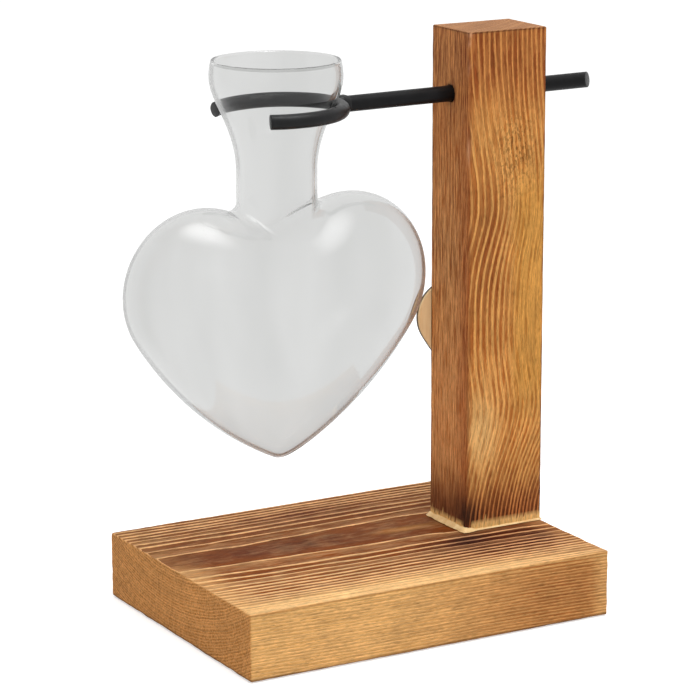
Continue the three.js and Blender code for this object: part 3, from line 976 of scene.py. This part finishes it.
def hanger_rod(look):
    """Drawn bar: eased at the weld, and cropped with a slope at the far end, where steel is bare."""
    start = RING_OUTSIDE + 2.5
    end = node_box("hanger_rod")[1][0] - ROD_X + ARM + 1
    eased = ((0.05, 2.45), (0.2, 2.72), (0.4, 2.9), (0.6, ROD_RADIUS))
    stations = [(start + along, 0, 0, radius) for along, radius in eased]
    stations += [(along, 0, 0, ROD_RADIUS) for along in np.linspace(start + 1, end, 90)]
    rod = tube("rod", bar_rows(stations, 40), cap=True)
    cropped_at = POST_RIGHT + 27.2 - ROD_X + ARM
    crop(rod, (cropped_at, 0, 0), Vector((1, -1, 1 / 6)).normalized(), 0.35)
    p = points_of(rod)
    bare = np.clip(1.4 * spot(p, (cropped_at, 0.6, -0.3), (2.4, 1.5, 1.5)), 0, 1)
    hang(rod, look, "hanger_rod", bare=bare * (p[:, 0] > cropped_at - 4))


def weld_bead(look):
    """The lumpy bead that joins the ring's outer side to the rod's end. Its underside is flatter, so
    that the lifted vase stops at the rod and not at the bead."""
    lowest = -3.08
    start, end = RING_OUTSIDE - 2.0, RING_OUTSIDE + 3.1
    stations = 26
    rows = []
    for i in range(stations):
        t = i / (stations - 1)
        s = start + (end - start) * t
        swell = 3.05 + 0.42 * math.sin(math.pi * min(1, t * 1.05)) ** 0.8
        if t < 0.18:
            swell *= math.sqrt(max(0.02, 1 - ((0.18 - t) / 0.18) ** 2)) * 0.45 + 0.55
        row = []
        for a in around(48):
            lump = 0.10 * math.sin(3 * a + 5 * t) + 0.07 * math.sin(5 * a - 9 * t + 1)
            r = swell + lump * math.sin(math.pi * t)
            row.append((s, r * math.cos(a), max(lowest, r * math.sin(a))))
        rows.append(row)
    bead = tube("weld", rows, cap=True)
    hang(bead, look, "weld_bead", limit=60)


# Glass

WALL = 1.4
LOBE_WALL = 0.95  # where the lobes were blown widest
LOBE_R, LOBE_X, LOBE_Z = 30.9, 30.9, 65.5
FLANK_R, TIP_R = 127.0, 7.0
HALF_DEPTH, FULLNESS = 27.0, 0.9
NECK_R, FILLET, FLARE_R = 14.75, 4.0, 24.2
VASE_X, VASE_TURN = -31.65, math.radians(3)


def arc(centre, radius, start, end, count):
    t = np.linspace(start, end, count)
    return np.column_stack([centre[0] + radius * np.cos(t), centre[1] + radius * np.sin(t)])


def bezier(a, b, c, d, count):
    t = np.linspace(0, 1, count)[:, None]
    a, b, c, d = (np.array(q, float) for q in (a, b, c, d))
    return (1 - t) ** 3 * a + 3 * t * (1 - t) ** 2 * b + 3 * t**2 * (1 - t) * c + t**3 * d


def evenly(path, shares):
    """Points at shares of a path's length."""
    steps = np.linalg.norm(np.diff(path, axis=0), axis=1)
    length = np.concatenate([[0], np.cumsum(steps)])
    at = np.asarray(shares) * length[-1]
    return np.column_stack([np.interp(at, length, path[:, 0]), np.interp(at, length, path[:, 1])])


def vase_rows(sides, body_rings, neck_rings):
    """The outside of the glass, from just above the tip to the rim, by the CAD model's own rule."""
    to_tip = np.array([-LOBE_X, TIP_R - LOBE_Z])
    apart = np.linalg.norm(to_tip)
    to_tip /= apart
    along = ((FLANK_R - LOBE_R) ** 2 - (FLANK_R - TIP_R) ** 2 + apart**2) / (2 * apart)
    aside = math.sqrt((FLANK_R - LOBE_R) ** 2 - along**2)
    flank = np.array([LOBE_X, LOBE_Z]) + to_tip * along + np.array([to_tip[1], -to_tip[0]]) * aside
    lobe_end = math.atan2(LOBE_Z - flank[1], LOBE_X - flank[0])
    flank_end = math.atan2(TIP_R - flank[1], -flank[0])
    over = LOBE_X - NECK_R - FILLET
    fillet_z = LOBE_Z + math.sqrt((LOBE_R + FILLET) ** 2 - over**2)
    leave = math.atan2(fillet_z - LOBE_Z, -over)
    front = np.concatenate(
        [
            arc((0, TIP_R), TIP_R, -math.pi / 2, flank_end, 200),
            arc(flank, FLANK_R, flank_end, lobe_end, 400)[1:],
            arc((LOBE_X, LOBE_Z), LOBE_R, lobe_end, leave, 400)[1:],
            arc((NECK_R + FILLET, fillet_z), FILLET, leave - math.pi, -math.pi, 100)[1:],
        ]
    )
    cleft_z = fillet_z - 10
    turn = cleft_z - LOBE_Z
    widest, waist = (HALF_DEPTH, LOBE_Z), (NECK_R, cleft_z)
    above, below = (HALF_DEPTH, LOBE_Z + 0.7 * turn), (NECK_R, cleft_z - 0.35 * turn)
    belly = bezier((0, 0), (11, 0), (HALF_DEPTH, 38), widest, 400)
    deep = np.concatenate([belly, bezier(widest, above, below, waist, 400)[1:]])
    flare_z = fillet_z + 9
    bulge_z = flare_z + 34
    lip_z = bulge_z + 6.3 - WALL / 2
    t = np.linspace(0, 1, 120)[:, None]
    lip = (1 - t) ** 2 * np.array([FLARE_R, bulge_z])
    lip = lip + 2 * t * (1 - t) * np.array([FLARE_R, bulge_z + 3.15]) + t**2 * np.array([23.5, lip_z])
    flare = ((NECK_R, flare_z), (NECK_R, flare_z + 16), (FLARE_R, bulge_z - 9.2), (FLARE_R, bulge_z))
    stem = [(NECK_R, fillet_z), (NECK_R, flare_z)]
    neck = np.concatenate([stem, bezier(*flare, 400)[1:], lip[1:]])
    angle = around(sides)
    c, s = np.cos(angle), np.sin(angle)
    rows = []

    def row(across, depth, fullness):
        x = across[0] * np.sign(c) * np.abs(c) ** fullness
        y = depth[0] * np.sign(s) * np.abs(s) ** fullness
        rows.append(np.column_stack([x, y, across[1] * c**2 + depth[1] * s**2]))

    shares = np.arange(1, body_rings + 1) / body_rings
    for share, a, b in zip(shares, evenly(front, shares), evenly(deep, shares)):
        row(a, b, 1 - (1 - FULLNESS) * math.sin(math.pi * share) ** 2)
    for a in evenly(neck, np.arange(1, neck_rings + 1) / neck_rings):
        lag = 10 * max(0.0, 1 - (a[1] - fillet_z) / 9)
        row(a, (a[0], a[1] - lag), 1)
    return np.array(rows)


def glass_vase():
    """The shell of glass with a round lip, in the CAD vase's place."""
    sides, lip_steps, body_rings, neck_rings = 224, 10, 150, 90
    tip = [[0, 0, 0]]

    def from_tip(rows):
        """A fan round the tip's point, and the faces between the rows after it."""
        fan = [(0, 1 + (s + 1) % sides, 1 + s) for s in range(sides)]
        return fan + [tuple(i + 1 for i in f) for f in loops(rows)]

    outer = vase_rows(sides, body_rings, neck_rings)
    outer[..., 0] *= 0.9994  # a hair narrower, to stay inside the CAD vase's box
    count = len(outer)
    shell = mesh_object("tool", np.concatenate([tip, outer.reshape(-1, 3)]), from_tip(outer))
    normals = normals_of(shell)[1:].reshape(count, sides, 3)
    bpy.data.objects.remove(shell)
    share = np.arange(count) / body_rings
    thin = np.exp(-(((share - 0.62) / 0.3) ** 2))
    wall = WALL - (WALL - LOBE_WALL) * thin
    inner = outer - normals * wall[:, None, None]
    middle = (outer[-1] + inner[-1]) / 2
    lip = []
    for step in range(1, lip_steps):
        a = math.pi * step / lip_steps
        lip.append(middle + (outer[-1] - middle) * math.cos(a) + np.array([0, 0, WALL / 2 * math.sin(a)]))
    rows = np.concatenate([outer, np.array(lip), inner[::-1]])
    points = np.concatenate([tip, rows.reshape(-1, 3), [[0, 0, WALL]]])
    last = len(points) - 1
    base = last - sides
    faces = from_tip(rows) + [(last, base + s, base + (s + 1) % sides) for s in range(sides)]
    vase = mesh_object("blown_heart", points, faces)
    stands_at = Matrix.Translation((VASE_X, ROD_Y, node_box("glass_vase")[0][2]))
    set_points(vase, place(points_of(vase), stands_at @ Matrix.Rotation(VASE_TURN, 4, "Z")))
    dress(vase, glass_look("clear glass", True), "vase", "glass_vase")
    vase.data.materials.append(glass_look("clear glass inside", False))
    inside = np.arange(len(faces)) >= (count + lip_steps + 1) * sides
    vase.data.polygons.foreach_set("material_index", inside.astype(np.int32))


# Build

base_board()
post()
glue_bead()
heart_plaque()

for screw_name in SCREWS:
    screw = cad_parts[screw_name]
    screw.data.materials.clear()
    screw.data.materials.append(screw_look())

ring_paint = steel_look("black paint, ring", 0.27)
hanger_ring(ring_paint)
# The rod's paint is the ring's with less gloss, so that the rod renders darker: a shaded copy of one
# paint, painted shade
hanger_rod(steel_look("black paint, rod", 0.17))
weld_bead(ring_paint)
glass_vase()


# Studio

WHITE = (1, 1, 1, 1)


def floor_look():
    """Pale and matt, a little lit from within, and plain white in the metal and the glass."""
    look = Look("studio floor")
    path = look.add("LightPath").outputs
    grain = look.noise((3, 3, 3), 2, 0.5, 1.0)
    color = look.mix(grain, (0.80, 0.80, 0.80), (0.79, 0.79, 0.79))
    matt = look.add("BsdfDiffuse", {"Color": color}).outputs[0]
    glow = look.add("Emission", {"Color": WHITE, "Strength": 0.5}).outputs[0]
    lit = look.add("AddShader", {0: matt, 1: glow}).outputs[0]
    white = look.add("Emission", {"Color": WHITE, "Strength": 1.0}).outputs[0]
    seen = look.add("MixShader", {0: path["Is Camera Ray"], 1: matt, 2: lit}).outputs[0]
    reflected = look.calc("MAXIMUM", path["Is Glossy Ray"], path["Is Transmission Ray"])
    return look.finish(look.add("MixShader", {0: reflected, 1: seen, 2: white}).outputs[0])


def studio_world():
    """White where it is seen, and dimmer as a light."""
    world = bpy.data.worlds.new("studio")
    world.use_nodes = True
    nodes = Nodes(world.node_tree)
    path = nodes.add("LightPath").outputs
    seen = nodes.calc("MAXIMUM", path["Is Camera Ray"], path["Is Glossy Ray"])
    seen = nodes.calc("MAXIMUM", seen, path["Is Transmission Ray"])
    light = {"Color": WHITE, "Strength": nodes.spread(seen, 0, 1, 0.70, 1.0)}
    nodes.add("OutputWorld", {"Surface": nodes.add("Background", light).outputs[0]})
    return world


def soft_box(name, stands_at, aim, size, power):
    """A lamp with a sheet of light that fades towards its edges."""
    data = bpy.data.lights.new(name, "AREA")
    data.shape = "RECTANGLE"
    data.size, data.size_y = size
    data.energy = power
    data.use_nodes = True
    nodes = Nodes(data.node_tree)
    place_on = nodes.add("NewGeometry").outputs["Parametric"]
    from_middle = nodes.add("VectorMath", {0: place_on, 1: (0.5, 0.5, 0)}, operation="DISTANCE")
    fade = nodes.spread(from_middle.outputs["Value"], 0.5, 0.05, smooth=True)
    glow = nodes.add("Emission", {"Strength": fade})
    nodes.add("OutputLight", {"Surface": glow.outputs[0]})
    lamp = added(name, data)
    lamp.location = stands_at
    lamp.rotation_euler = (Vector(aim) - Vector(stands_at)).to_track_quat("-Z", "Y").to_euler()
    return lamp


def camera_axes(azimuth, elevation, roll):
    """The camera's right, up and back, from its angles in degrees."""
    azimuth, elevation, roll = (math.radians(angle) for angle in (azimuth, elevation, roll))
    level = math.cos(elevation)
    back = Vector((math.sin(azimuth) * level, -math.cos(azimuth) * level, math.sin(elevation)))
    right = (-back).cross(Vector((0, 0, 1))).normalized()
    upward = right.cross(-back)
    turned_right = right * math.cos(roll) + upward * math.sin(roll)
    turned_up = -right * math.sin(roll) + upward * math.cos(roll)
    return Matrix((turned_right, turned_up, back)).transposed()


floor_mesh = bpy.data.meshes.new("floor")
with opened(floor_mesh) as floor_bm:
    bmesh.ops.create_grid(floor_bm, x_segments=8, y_segments=8, size=6)
floor = added("floor", floor_mesh)
floor.location.z = -0.0004
floor.data.materials.append(floor_look())

scene.world = studio_world()
soft_box("overhead box", (0.06, -0.21, 1.04), (-0.02, 0, 0.12), size=(0.86, 1.10), power=19)
fill = soft_box("front box", (-0.15, -1.42, 0.75), (0, 0, 0.10), size=(0.9, 0.7), power=12)
fill.visible_glossy = False

camera_data = bpy.data.cameras.new("camera")
camera_data.lens = 157.43
camera_data.sensor_width = 36
camera_data.sensor_fit = "HORIZONTAL"
camera_data.clip_start = 0.05
camera = added("camera", camera_data)
camera_pose = camera_axes(azimuth=-29.68, elevation=13.707, roll=-0.079).to_4x4()
camera_pose.translation = Vector((-0.5465, -0.9537, 0.3670))
camera.matrix_world = camera_pose
scene.camera = camera
scene.view_settings.view_transform = "Standard"
